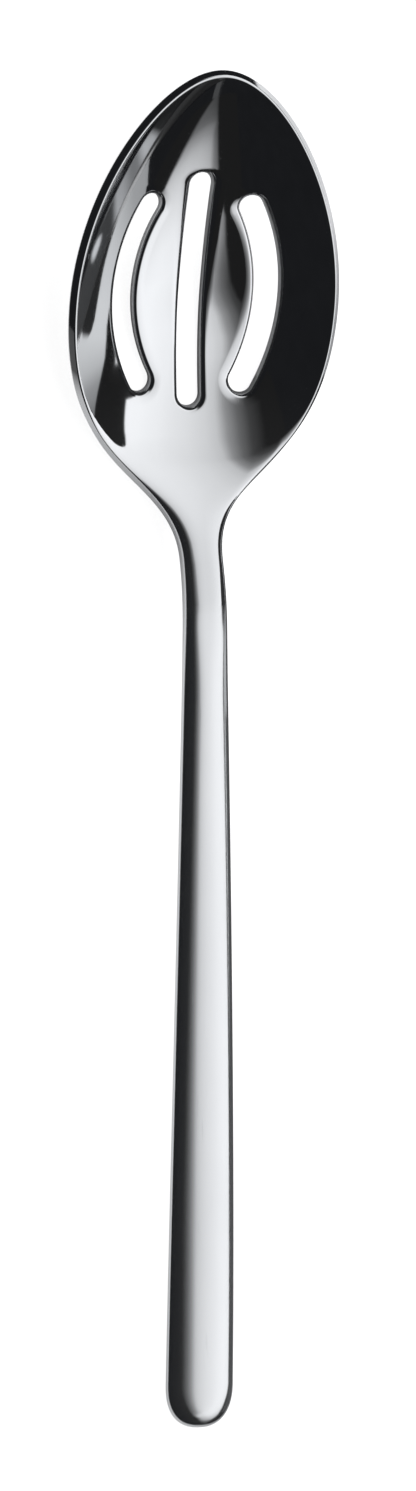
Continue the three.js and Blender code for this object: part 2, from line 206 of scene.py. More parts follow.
class HandleSizes(bpy.types.PropertyGroup):
    """Sizes of the handle, the bend of the neck, the weld and the tang"""
    length: length("Length", "End to neck", 129.3)
    end_width: length("End width", "Across the end", 10.45)
    thickness: length("Thickness", "At the end", 3.5)
    arch: length("Arch", "Rise of the handle's middle over a straight line", 0.75)
    edge_flat: length("Edge flat", "Flat left on the side edges", 0.35)
    end_round: length("End round", "Length of the rounded end", 6.6)
    end_power: amount("End power", "Squareness of the rounded end", 2.35, least=1)
    taper_end: length("Taper at the end", "How long the end keeps its width", 39)
    taper_neck: length("Taper at the neck", "How long the neck keeps its width", 10)
    neck_width: length("Neck width", "Across the neck", 6.4)
    neck_thickness: length("Neck thickness", "At the neck", 3.3)
    neck_power: amount("Neck power", "Squareness of the neck's section, 2 is an ellipse", 3, least=1)
    square_behind: length("Square behind", "The bar's section grows squarer over this length", 23)
    neck_rise: length("Neck rise", "Handle above the rim where it bends", 3.8)
    bend_behind: length("Bend behind", "Start of the bend behind the neck", 7)
    bend_ahead: length("Bend ahead", "End of the bend ahead of the neck", 18)
    bend_ease: length("Bend ease", "The bend sets in over this length on either side of its start", 5.5)
    crest: length("Crest", "Length of the upper curve of the bend", 8)
    valley: length("Valley", "Length of the lower curve of the bend", 9)
    blend_ahead: length("Blend ahead", "Bar turns into sheet over this length", 24)
    blend_behind: length("Blend behind", "Bar changes to the neck's thickness over this length", 18)
    rest_flat: length("Rest flat", "How much the places that it rests on are flattened", 0.2)
    fan: factor("Fan", "How far the cross sections fan out at both ends", 0.4, most=0.9)
    rings: IntProperty(name="Rings", description="Cross sections along the handle", default=220, min=20)
    half_columns: IntProperty(name="Columns", description="Steps across the top", default=40, min=8)
    weld: length("Weld", "Width of the ground-flush weld", 1.2)
    tang_width: length("Tang width", "Across the tang inside the handle", 3)
    tang_thickness: length("Tang thickness", "Tang inside the handle", 1.6)
    tang_length: length("Tang length", "From the weld back into the handle", 12)
    tang_play: length("Tang play", "Clearance around the tang", 0.3)


class FinishSettings(bpy.types.PropertyGroup):
    """Colours and gloss of the steel"""
    steel: colour("Steel", "Polished steel", (0.785, 0.795, 0.81))
    haze: colour("Haze", "Steel under a faint film", (0.73, 0.742, 0.76))
    bowl_roughness: factor("Bowl roughness", "Of the mirror polish", 0.05)
    handle_roughness: factor("Handle roughness", "Of the buffed bar", 0.14)


class StageSettings(bpy.types.PropertyGroup):
    """Camera, lights and paper"""
    distance: length("Distance", "Camera to the spoon", 900)
    lean: angle("Lean", "Camera off the vertical, to the spoon's left", 19)
    roll: angle("Roll", "Turn of the camera about its own axis", -0.602)
    lens: amount("Lens", "Focal length in millimetres", 97.67)
    sensor: amount("Sensor", "Sensor height in millimetres", 24)
    softbox: amount("Softbox", "Brightness of the long softbox", 1.15)
    card: amount("Card", "Brightness of the low card on the right", 0.45)
    floor: colour("Floor", "Paper under the spoon", (0.86, 0.86, 0.86))


def smooth_step(value, start, end):
    share = np.clip((value - start) / (end - start), 0, 1)
    return share ** 3 * (share * (6 * share - 15) + 10)


def mix(a, b, share):
    return a + (b - a) * share


def unit(vectors):
    return vectors / np.maximum(np.linalg.norm(vectors, axis=-1, keepdims=True), VANISHING)


def slopes(height, x, y, step):
    """Slopes of a height over the plan, across and along."""
    return ((height(x + step, y) - height(x - step, y)) / (2 * step),
            (height(x, y + step) - height(x, y - step)) / (2 * step))


def bezier(*points):
    """Samples of a cubic curve as two arrays, for np.interp."""
    t = 0.5 - 0.5 * np.cos(np.linspace(0, np.pi, CURVE_SAMPLES))
    weights = np.stack([(1 - t) ** 3, 3 * (1 - t) ** 2 * t, 3 * (1 - t) * t * t, t ** 3], 1)
    samples = weights @ np.array(points, float)
    return samples[:, 0], samples[:, 1]


class SpoonForm:
    """The spoon's shape as rules. y runs from the handle's end to the tip, z is up, all in metres."""

    def __init__(self, bowl, handle):
        self.bowl, self.bar = bowl, handle
        self.neck = handle.length
        self.tip = self.neck + bowl.length
        self.widest = self.tip - bowl.widest
        self.deepest = self.tip - bowl.deepest
        self.hollow_start = self.tip - bowl.hollow
        self.bend_start = self.neck - handle.bend_behind
        self.bend_end = self.neck + handle.bend_ahead
        self.rim_slope = math.tan(bowl.tilt)
        self.rim_along = np.array([0, math.cos(bowl.tilt), math.sin(bowl.tilt)])
        self.rim_up = np.array([0, -math.sin(bowl.tilt), math.cos(bowl.tilt)])
        end, neck, wide = handle.end_width / 2, handle.neck_width / 2, bowl.width / 2
        self.taper = bezier((0, end), (handle.taper_end, end),
                            (self.neck - handle.taper_neck, neck), (self.neck, neck))
        self.shoulder = bezier((self.neck, neck), (self.neck + bowl.shoulder_sweep, neck),
                               (self.widest - bowl.shoulder_fullness, wide), (self.widest, wide))
        self.front = bezier((self.widest, wide), (self.widest + bowl.flank_fullness, wide),
                            (self.tip, bowl.tip_fullness), (self.tip, 0))
        self.rear_floor = bezier((self.hollow_start, 0), (self.hollow_start + bowl.run_out, 0),
                                 (self.deepest - bowl.floor_behind, bowl.depth), (self.deepest, bowl.depth))
        self.front_floor = bezier((self.deepest, bowl.depth), (self.deepest + bowl.floor_ahead, bowl.depth),
                                  (self.tip - bowl.tip_run, bowl.tip_depth), (self.tip, 0))
        self.rim_height, self.end_height = 0.0, handle.thickness / 2
        for _ in range(SETTLINGS):
            self.rim_height -= self.lowest(self.neck, self.deepest) + handle.rest_flat
            self.end_height -= self.lowest(handle.end_round, 2 * handle.end_round) + handle.rest_flat
        self.tip_point = np.array([0, self.tip, self.level(self.tip)])

    def lowest(self, start, end):
        """Lowest height of the underside between two places."""
        return self.skin(np.linspace(start, end, SKIN_SAMPLES), np.zeros(SKIN_SAMPLES), -1)[:, 2].min()

    def half_width(self, y):
        short = np.clip(1 - y / self.bar.end_round, 0, 1)
        power = self.bar.end_power
        end = np.maximum(0, 1 - short ** power) ** (1 / power)
        behind = np.where(y > self.neck, np.interp(y, *self.shoulder), np.interp(y, *self.taper) * end)
        return np.where(y > self.widest, np.interp(y, *self.front), behind)

    def hollow_depth(self, y):
        floor = np.where(y < self.deepest, np.interp(y, *self.rear_floor), np.interp(y, *self.front_floor))
        return np.where(y < self.hollow_start, 0, floor)

    def bar_height(self, y):
        along = y / self.bend_start
        straight = mix(self.end_height, self.rim_height + self.bar.neck_rise, along)
        return straight + 4 * self.bar.arch * along * (1 - along)

    def bend_points(self):
        top = self.rim_height + self.bar.neck_rise
        slope = (self.bar_height(self.bend_start) - self.bar_height(self.bend_start - NUDGE)) / NUDGE
        return ((self.bend_start, top), (self.bend_start + self.bar.crest, top + slope * self.bar.crest),
                (self.bend_end - self.bar.valley, self.rim_height - self.rim_slope * self.bar.valley),
                (self.bend_end, self.rim_height))

    def bend_curve(self):
        """How much more the bend curves at its start than the bar does."""
        (y, z), (crest, crest_z), (valley, valley_z), _ = self.bend_points()
        fall = valley_z - crest_z - (crest_z - z) / (crest - y) * (valley - crest)
        return 2 / 3 * fall / (crest - y) ** 2 + 8 * self.bar.arch / self.bend_start ** 2

    def edge_height(self, y):
        """Height of the bar's middle and of the rim, with the start of the bend eased."""
        rim = self.rim_height + self.rim_slope * (y - self.bend_end)
        bend = np.interp(y, *bezier(*self.bend_points()))
        plain = np.where(y < self.bend_start, self.bar_height(y), np.where(y > self.bend_end, rim, bend))
        ease, past = self.bar.bend_ease, y - self.bend_start
        eased = np.clip(past + ease, 0, 2 * ease) ** 3 / (12 * ease) - np.clip(past, 0, ease) ** 2 / 2
        fade = 1 - smooth_step(past, ease, self.bend_end - self.bend_start)
        return plain + self.bend_curve() * eased * fade

    def level(self, y):
        return float(self.edge_height(np.array(y)))

    def sheet_share(self, y):
        return smooth_step(y, self.neck, self.neck + self.bar.blend_ahead)

    def section_power(self, y):
        square = smooth_step(y, self.neck - self.bar.square_behind, self.neck) * (1 - self.sheet_share(y))
        return 2 + (self.bar.neck_power - 2) * square

    def thickness(self, y, across):
        bar = mix(self.bar.thickness, self.bar.neck_thickness,
                  smooth_step(y, self.neck - self.bar.blend_behind, self.neck))
        sheet = mix(self.bowl.bottom_thickness, self.bowl.rim_thickness, across * across)
        return mix(bar, sheet, self.sheet_share(y))

    def middle(self, x, y):
        """Height of the middle of the sheet over a place in the plan."""
        out = np.abs(x) / np.maximum(self.half_width(y), EDGE_MARGIN)
        steep = self.bowl.steepness
        return self.edge_height(y) - self.hollow_depth(y) * (1 - ((1 - steep) * out ** 2 + steep * out ** 4))

    def foot(self, y):
        """Where the cross section that ends at y on the outline meets the middle line."""
        end, front, fan = self.bar.end_round, self.bowl.widest, self.bar.fan
        near = y + fan * end * (1 - y / end) ** 2
        far = y - fan * front * (1 - (self.tip - y) / front) ** 2
        return np.where(y < end, near, np.where(y > self.widest, far, y))

    def skin(self, outline, across, side):
        """Points of the top (side 1) or underside (-1), by place along the outline and share of the width."""
        outline, across = np.asarray(outline, float), np.asarray(across, float)
        width, foot = self.half_width(outline), self.foot(outline)
        inward = np.where(outline < self.neck, NUDGE, -NUDGE)
        flare = (self.half_width(outline + inward) - width) / inward
        reach = (width - flare * (outline - foot)) / np.hypot(1, flare)
        x, y = across * width, mix(foot, outline, np.abs(across))
        share, thick = self.sheet_share(y), self.thickness(y, across)
        corner = mix((thick - self.bar.edge_flat) / 2, self.bowl.edge_round, share)
        corner_reach = mix(reach, self.bowl.edge_round, share)
        bare = 1 - np.minimum(1, (1 - np.abs(across)) * reach / np.maximum(corner_reach, TINY))
        power = self.section_power(y)
        half = thick / 2 - corner * (1 - np.maximum(0, 1 - bare ** power) ** (1 / power))
        height = self.middle(x, y)
        off_axis = np.abs(x) > TINY
        step = np.where(off_axis, x * SLOPE_SHARE, 1)
        slope_x = np.where(off_axis, (height - self.middle(x - step * off_axis, y)) / step, 0)
        slope_y = (self.middle(x, y + inward) - height) / inward
        normal = unit(np.stack([-slope_x, -slope_y, np.ones_like(slope_x)], -1))
        offset = unit(normal * np.stack([np.ones_like(share), share, np.ones_like(share)], -1))
        size = side * half / (offset * normal).sum(-1)
        return np.stack([x, y, height], -1) + offset * size[..., None]

    def skin_normal(self, outline, across, side):
        """Outward normals of the same points."""
        across = np.clip(across, -1 + EDGE_MARGIN, 1 - EDGE_MARGIN)
        room = np.minimum(SIDE_STEP, (1 - np.abs(across)) * EDGE_SHARE)
        ahead, behind = np.minimum(outline + 2 * NUDGE, self.tip), outline - 2 * NUDGE
        along = self.skin(ahead, across, side) - self.skin(behind, across, side)
        over = self.skin(outline, across + room, side) - self.skin(outline, across - room, side)
        return unit(side * np.cross(over, along))

    def across_at(self, x, y):
        """Share of the width of a place in the plan, where the cross sections fan out."""
        low, high = np.minimum(y, self.tip), np.full_like(y, self.tip)
        for _ in range(HALVINGS):
            trial = (low + high) / 2
            share = np.abs(x) / np.maximum(self.half_width(trial), TINY)
            reached = mix(self.foot(trial), trial, np.minimum(share, 1))
            beyond = (reached > y) | (share > 1)
            high = np.where(beyond, trial, high)
            low = np.where(beyond, low, trial)
        return np.clip(np.abs(x) / np.maximum(self.half_width(low), TINY), 0, 1)

    def surface(self, x, y, side):
        """Height of the top or underside of the sheet over a place in the plan."""
        slope_x, slope_y = slopes(self.middle, x, y, NUDGE)
        thick = self.thickness(y, self.across_at(x, y))
        return self.middle(x, y) + side * thick / 2 * np.sqrt(1 + slope_x ** 2 + slope_y ** 2)

    def to_rim(self, points):
        """Places in the rim's plane, seen along the rim's normal, with the tip at the origin."""
        return np.stack([points[:, 0], (points - self.tip_point) @ self.rim_along], -1)

    def from_rim(self, places, side):
        """Points and normals of the top or underside over places in the rim's plane."""
        def surface(x, y):
            return self.surface(x, y, side)

        _, cos, sin = self.rim_along
        x, along = places[:, 0], places[:, 1]
        height = np.full_like(x, -self.bowl.depth)
        for _ in range(SOLVE_STEPS):
            y = self.tip + along * cos - height * sin
            height = height + SOLVE_GAIN * (surface(x, y) - (self.tip_point[2] + along * sin + height * cos))
        y = self.tip + along * cos - height * sin
        slope_x, slope_y = slopes(surface, x, y, 4 * NUDGE)
        normal = side * np.stack([-slope_x, -slope_y, np.ones_like(x)], -1)
        return np.stack([x, y, surface(x, y)], -1), unit(normal)


class Slot:
    """A punched slot in the rim's plane: a round-ended cutter swept along a straight or bent spine."""

    def __init__(self, bowl, hand):
        self.hand, self.radius = hand, bowl.slot_width / 2
        if hand:
            self.bend = bowl.side_radius
            self.centre = np.array([bowl.side_offset - self.bend, -bowl.side_from_tip])
            self.reach = (bowl.side_length - bowl.slot_width) / 2 / self.bend
        else:
            self.bend = None
            self.centre = np.array([0, -bowl.centre_from_tip - bowl.centre_length / 2])
            self.reach = bowl.centre_length / 2 - self.radius
        self.places, self.outward = self.outline()

    def spine(self, along):
        """Points of the spine and the directions square to it."""
        if self.bend:
            square = np.stack([np.cos(along), np.sin(along)], -1)
            return self.centre + self.bend * square, square
        square = np.stack([np.ones_like(along), np.zeros_like(along)], -1)
        return self.centre + np.stack([np.zeros_like(along), along], -1), square

    def outline(self):
        """Spine points and outward directions round the slot, counter-clockwise."""
        run = self.reach * np.linspace(-1, 1, SLOT_SIDE + 2)[1:-1]
        turn = np.linspace(0, np.pi, SLOT_END)
        side, square = self.spine(run)
        ends = []
        for way in (1, -1):
            place, out = self.spine(np.full_like(turn, way * self.reach))
            out = out * way
            ahead = np.stack([-out[:, 1], out[:, 0]], -1)
            ends.append((place, out * np.cos(turn)[:, None] + ahead * np.sin(turn)[:, None]))
        places = np.concatenate([side, ends[0][0], side[::-1], ends[1][0]])
        outward = np.concatenate([square, ends[0][1], -square[::-1], ends[1][1]])
        if self.hand < 0:
            return places[::-1] * (-1, 1), outward[::-1] * (-1, 1)
        return places, outward

    def edge(self, far):
        """Places round the slot, this far outside its edge."""
        return self.places + self.outward * (self.radius + far)

    def away(self, points):
        """Distance of points from the slot's edge and the direction away from it."""
        points = points * (self.hand or 1, 1)
        offset = points - self.centre
        along = np.arctan2(offset[:, 1], offset[:, 0]) if self.bend else offset[:, 1]
        place, _ = self.spine(np.clip(along, -self.reach, self.reach))
        gap = points - place
        far = np.maximum(np.linalg.norm(gap, axis=1), TINY)
        return far - self.radius, gap / far[:, None] * (self.hand or 1, 1)


def inside(points, loop):
    """Which points lie inside a closed loop."""
    hit = np.zeros(len(points), bool)
    for p, q in zip(loop, np.roll(loop, -1, 0)):
        crosses = (p[1] > points[:, 1]) != (q[1] > points[:, 1])
        rise = np.where(abs(q[1] - p[1]) < TINY, TINY, q[1] - p[1])
        hit ^= crosses & (points[:, 0] < (q[0] - p[0]) * (points[:, 1] - p[1]) / rise + p[0])
    return hit


def nearest(points, others):
    return np.sqrt(((points[:, None] - others[None]) ** 2).sum(-1).min(1))


class Skin:
    """Collects points, normals and faces for one mesh."""

    def __init__(self):
        self.points, self.normals, self.faces, self.count = [], [], [], 0

    def add(self, points, normals):
        points = np.asarray(points, float).reshape(-1, 3)
        self.points.append(points)
        self.normals.append(np.asarray(normals, float).reshape(-1, 3))
        self.count += len(points)
        return np.arange(self.count - len(points), self.count)

    def strip(self, first, second, closed=False):
        """Faces between two rows of the same number of points."""
        last = len(first) if closed else len(first) - 1
        for i in range(last):
            j = (i + 1) % len(first)
            self.faces.append((first[i], first[j], second[j], second[i]))

    def mesh(self, name):
        """A mesh with doubles merged, each point keeping its own normal."""
        points, normals = np.concatenate(self.points), np.concatenate(self.normals)
        below = points[:, 2] < 0
        points[below, 2] = 0
        normals[below] = (0, 0, -1)
        _, first, same = np.unique(np.round(points / MERGE), axis=0, return_index=True, return_inverse=True)
        same = same.reshape(-1)
        faces = []
        for face in self.faces:
            ring = [int(same[i]) for i in face]
            ring = [v for k, v in enumerate(ring) if v != ring[k - 1]]
            if len(set(ring)) == len(ring) and len(ring) > 2:
                faces.append(ring)
        summed = np.zeros((len(first), 3))
        np.add.at(summed, same, normals)
        mesh = bpy.data.meshes.new(name)
        mesh.from_pydata((points[first] + (0, HANDLE_END_AT, 0)).tolist(), [], faces)
        mesh.polygons.foreach_set("use_smooth", [True] * len(mesh.polygons))
        mesh.normals_split_custom_set_from_vertices(unit(summed).tolist())
        mesh.validate(clean_customdata=False)
        return mesh


def sheet_at(form, slots, places, side):
    """Points and normals of the sheet over places in the rim's plane, on top drawn down towards the slots."""
    points, normals = form.from_rim(places, side)
    if side < 0:
        return points, normals
    bowl = form.bowl
    for slot in slots:
        gap, away = slot.away(places)
        beside = away[:, :1]
        if slot.hand:
            reach, share = bowl.slot_roll, (1 - slot.hand * beside) / 2
        else:
            front = np.clip((places[:, 1:] + bowl.roll_from) / bowl.roll_run, 0, 1)
            reach, share = mix(bowl.slot_roll / 2, bowl.centre_roll, front * beside ** 2), 1
        left = np.clip(1 - np.maximum(gap, 0)[:, None] / reach, 0, 1)
        points = points - form.rim_up * (bowl.roll_slope * reach / 2 * share) * left ** 2
        lean = beside * (1, 0, 0) + away[:, 1:] * form.rim_along
        normals = normals - lean * (bowl.roll_slope * share) * left
    return points, unit(normals)


def floor_grid(bowl, slots, rim_loop):
    """Places on the bowl's floor: rows round the slots, and an even grid out to the wall."""
    step, edge = bowl.mesh_step, max(bowl.slot_roll, bowl.centre_roll)
    bands = []
    for slot in slots:
        for far in np.linspace(bowl.slot_round, edge, SLOT_BANDS + 1)[1:]:
            band = slot.edge(far)
            gaps = [other.away(band)[0] for other in slots if other is not slot]
            bands.append(band[np.min(gaps, 0) > far + step / 4])
    low, high = rim_loop.min(0), rim_loop.max(0)
    columns, lines = np.arange(low[0], high[0], step), np.arange(low[1], high[1], step * ROW_STEP)
    grid = np.array([(x + step / 2 * (j % 2), y) for j, y in enumerate(lines) for x in columns])
    grid = grid[inside(grid, rim_loop)]
    grid = grid[nearest(grid, rim_loop) > step * WALL_GAP]
    for slot in slots:
        grid = grid[slot.away(grid)[0] > edge + step * BAND_GAP]
    return np.concatenate(bands + [grid])


def fill(rim_loop, holes, grid):
    """Triangles of the floor between the wall and the slots, by place in the list of all its points."""
    flat = np.concatenate([rim_loop] + holes + [grid])
    edges, first = [], 0
    for ring in [rim_loop] + holes:
        last = first + len(ring)
        edges += [(i, i + 1 if i + 1 < last else first) for i in range(first, last)]
        first = last
    scaled = [Vector(place * FILL_SCALE) for place in flat]
    points, _, faces, sources, _, _ = delaunay_2d_cdt(scaled, edges, [], 0, FILL_MARGIN)
    if len(points) != len(flat):
        raise RuntimeError("the bowl's floor gained points while it was filled")
    back = [group[0] for group in sources]
    triangles = np.array([[back[i] for i in face] for face in faces if len(face) == 3])
    centres = flat[triangles].mean(1)
    keep = inside(centres, rim_loop)
    for hole in holes:
        keep &= ~inside(centres, hole)
    return triangles[keep]


def make_bowl(form):
    """The dished and slotted sheet with its bar-shaped neck and the tang behind it."""
    bowl, skin = form.bowl, Skin()
    across = np.sin(np.linspace(-np.pi / 2, np.pi / 2, BOWL_COLUMNS))
    opening = form.bend_end - OPENING_BEHIND
    neck_rows = np.linspace(form.bend_start, opening, NECK_ROWS)
    shoulder_rows = np.linspace(opening, form.widest, SHOULDER_ROWS)[1:]
    front_rows = form.front[0][np.linspace(0, CURVE_SAMPLES - 1, FRONT_ROWS).astype(int)[1:]]
    stations = np.concatenate([neck_rows, shoulder_rows, front_rows])
    split = len(neck_rows) - 1
    right = int(np.searchsorted(across, WALL_FROM))
    left = len(across) - 1 - right
    place, share = np.meshgrid(stations, across, indexing="ij")
    rows = {}
    for side in (1, -1):
        points, normals = form.skin(place, share, side), form.skin_normal(place, share, side)
        rows[side] = skin.add(points, normals).reshape(place.shape)
    top, lower = rows[1], rows[-1]
    loop = np.concatenate([top[split:, right], top[split:-1, left][::-1], top[split, left + 1:right]])
    rim_loop = form.to_rim(np.concatenate(skin.points)[loop])
    slots = [Slot(bowl, hand) for hand in (0, 1, -1)]
    grid = floor_grid(bowl, slots, rim_loop)
    floors = {}
    for side, edge, known in ((1, bowl.slot_round, loop), (-1, bowl.slot_burr, loop[:0])):
        places = np.concatenate([rim_loop] + [slot.edge(edge) for slot in slots] + [grid])
        points, normals = sheet_at(form, slots, places, side)
        floors[side] = np.concatenate([known, skin.add(points[len(known):], normals[len(known):])])
    for triangle in fill(rim_loop, [slot.edge(bowl.slot_round) for slot in slots], grid):
        skin.faces += [tuple(floors[1][triangle]), tuple(floors[-1][triangle[::-1]])]
    swap = dict(zip(loop.tolist(), floors[-1].tolist()))
    for line in range(split, len(stations)):
        for column in (left, right):
            lower[line, column] = swap.get(top[line, column], swap.get(top[line, right]))
    for column in range(left, right + 1):
        lower[split, column] = swap[top[split, column]]
    for line in range(len(stations) - 1):
        for column in range(len(across) - 1):
            if line >= split and left <= column < right:
                continue
            quad = [(line, column), (line, column + 1), (line + 1, column + 1), (line + 1, column)]
            skin.faces.append([top[at] for at in quad])
            skin.faces.append([lower[at] for at in quad[:1] + quad[:0:-1]])
    skin.strip(top[:, 0], lower[:, 0])
    skin.strip(lower[:, -1], top[:, -1])
    add_slot_walls(skin, form, slots, floors, len(loop))
    ring = np.concatenate([top[0], lower[0][::-1]])
    middle = skin.add([(0, form.bend_start, form.level(form.bend_start))], [(0, -1, 0)])[0]
    for i in range(len(ring)):
        skin.faces.append((ring[i], middle, ring[(i + 1) % len(ring)]))
    add_tang(skin, form)
    return skin.mesh("spoon_bowl")


def add_slot_walls(skin, form, slots, floors, begin):
    """Walls of the slots, with the rounded edge on top and the broken edge below."""
    bowl = form.bowl
    for slot in slots:
        end = begin + len(slot.places)
        facing = -(slot.outward[:, :1] * (1, 0, 0) + slot.outward[:, 1:] * form.rim_along)
        rows = {}
        for side, edge in ((1, bowl.slot_round), (-1, bowl.slot_burr)):
            rows[side] = [floors[side][begin:end]]
            for turn in np.linspace(np.pi / 2, 0, SLOT_ROUNDS + 1)[1:]:
                points, normals = sheet_at(form, slots, slot.edge(edge * (1 - math.cos(turn))), side)
                points = points - side * form.rim_up * edge * (1 - math.sin(turn))
                rows[side].append(skin.add(points, normals * math.sin(turn) + facing * math.cos(turn)))
        belt = rows[1] + rows[-1][::-1]
        for upper, next_down in zip(belt[:-1], belt[1:]):
            skin.strip(upper, next_down, closed=True)
        begin = end


def add_tang(skin, form):
    """The tang that reaches back into the handle, as a plain bar."""
    bar = form.bar
    front, back = form.bend_start + TANG_OVERLAP, form.bend_start - bar.weld - bar.tang_length
    x, z = bar.tang_width / 2, bar.tang_thickness / 2
    corners = [(-1, -1), (1, -1), (1, 1), (-1, 1)]
    facing = [(across, 0, up) for across, up in corners]
    rings = [skin.add([(across * x, y, form.level(y) + up * z) for across, up in corners], facing)
             for y in (back, front)]
    skin.strip(rings[0], rings[1], closed=True)
    skin.faces += [tuple(rings[0][::-1]), tuple(rings[1])]


def add_node(tree, kind, inputs=(), **settings):
    """A new node with its settings made, and its inputs set or linked by name or number."""
    node = tree.nodes.new(kind)
    for name, value in settings.items():
        setattr(node, name, value)
    for name, value in dict(inputs).items():
        value = value.socket if isinstance(value, Field) else value
        if isinstance(value, bpy.types.NodeSocket):
            tree.links.new(value, node.inputs[name])
        else:
            node.inputs[name].default_value = value
    return node


def calculated(tree, operation, *values):
    node = add_node(tree, "ShaderNodeMath", enumerate(values), operation=operation)
    return Field(tree, node.outputs[0])


class Field:
    """A value in a node tree that can be used in ordinary arithmetic."""

    def __init__(self, tree, socket):
        self.tree, self.socket = tree, socket

    def join(self, operation, *others):
        return calculated(self.tree, operation, self, *others)

    def __add__(self, other):
        return self.join("ADD", other)

    def __sub__(self, other):
        return self.join("SUBTRACT", other)

    def __mul__(self, other):
        return self.join("MULTIPLY", other)

    def __truediv__(self, other):
        return self.join("DIVIDE", other)

    def __pow__(self, other):
        return self.join("POWER", other)

    __radd__, __rmul__ = __add__, __mul__

    def __rsub__(self, other):
        return calculated(self.tree, "SUBTRACT", other, self)

    def __rtruediv__(self, other):
        return calculated(self.tree, "DIVIDE", other, self)

    def __neg__(self):
        return self * -1.0

    def above_zero(self):
        return self.join("MAXIMUM", 0.0)

    def clamped(self):
        return self.above_zero().join("MINIMUM", 1.0)

    def between(self, start, end):
        """0 before the start, 1 past the end, and even in between."""
        return ((self - start) / (end - start)).clamped()


BAR_SIZES = ("Length", "End Width", "Neck Width", "Taper End", "Taper Neck", "End Round", "End Power", "Fan",
             "Thickness", "Neck Thickness", "Blend Behind", "Edge Flat", "Neck Power", "Square Behind",
             "Bend Ease", "Arch")
BAR_INPUTS = {
    **dict.fromkeys(BAR_SIZES + ("From", "To", "Crowding", "End Height", "Bend Height", "Bend Start",
                                 "Bend Curve", "End At"), "Float"),
    "Rings": "Int", "Half Columns": "Int", "Open Start": "Bool", "Socket Size": "Vector",
    "Socket At": "Vector", "Finish": "Material",
}


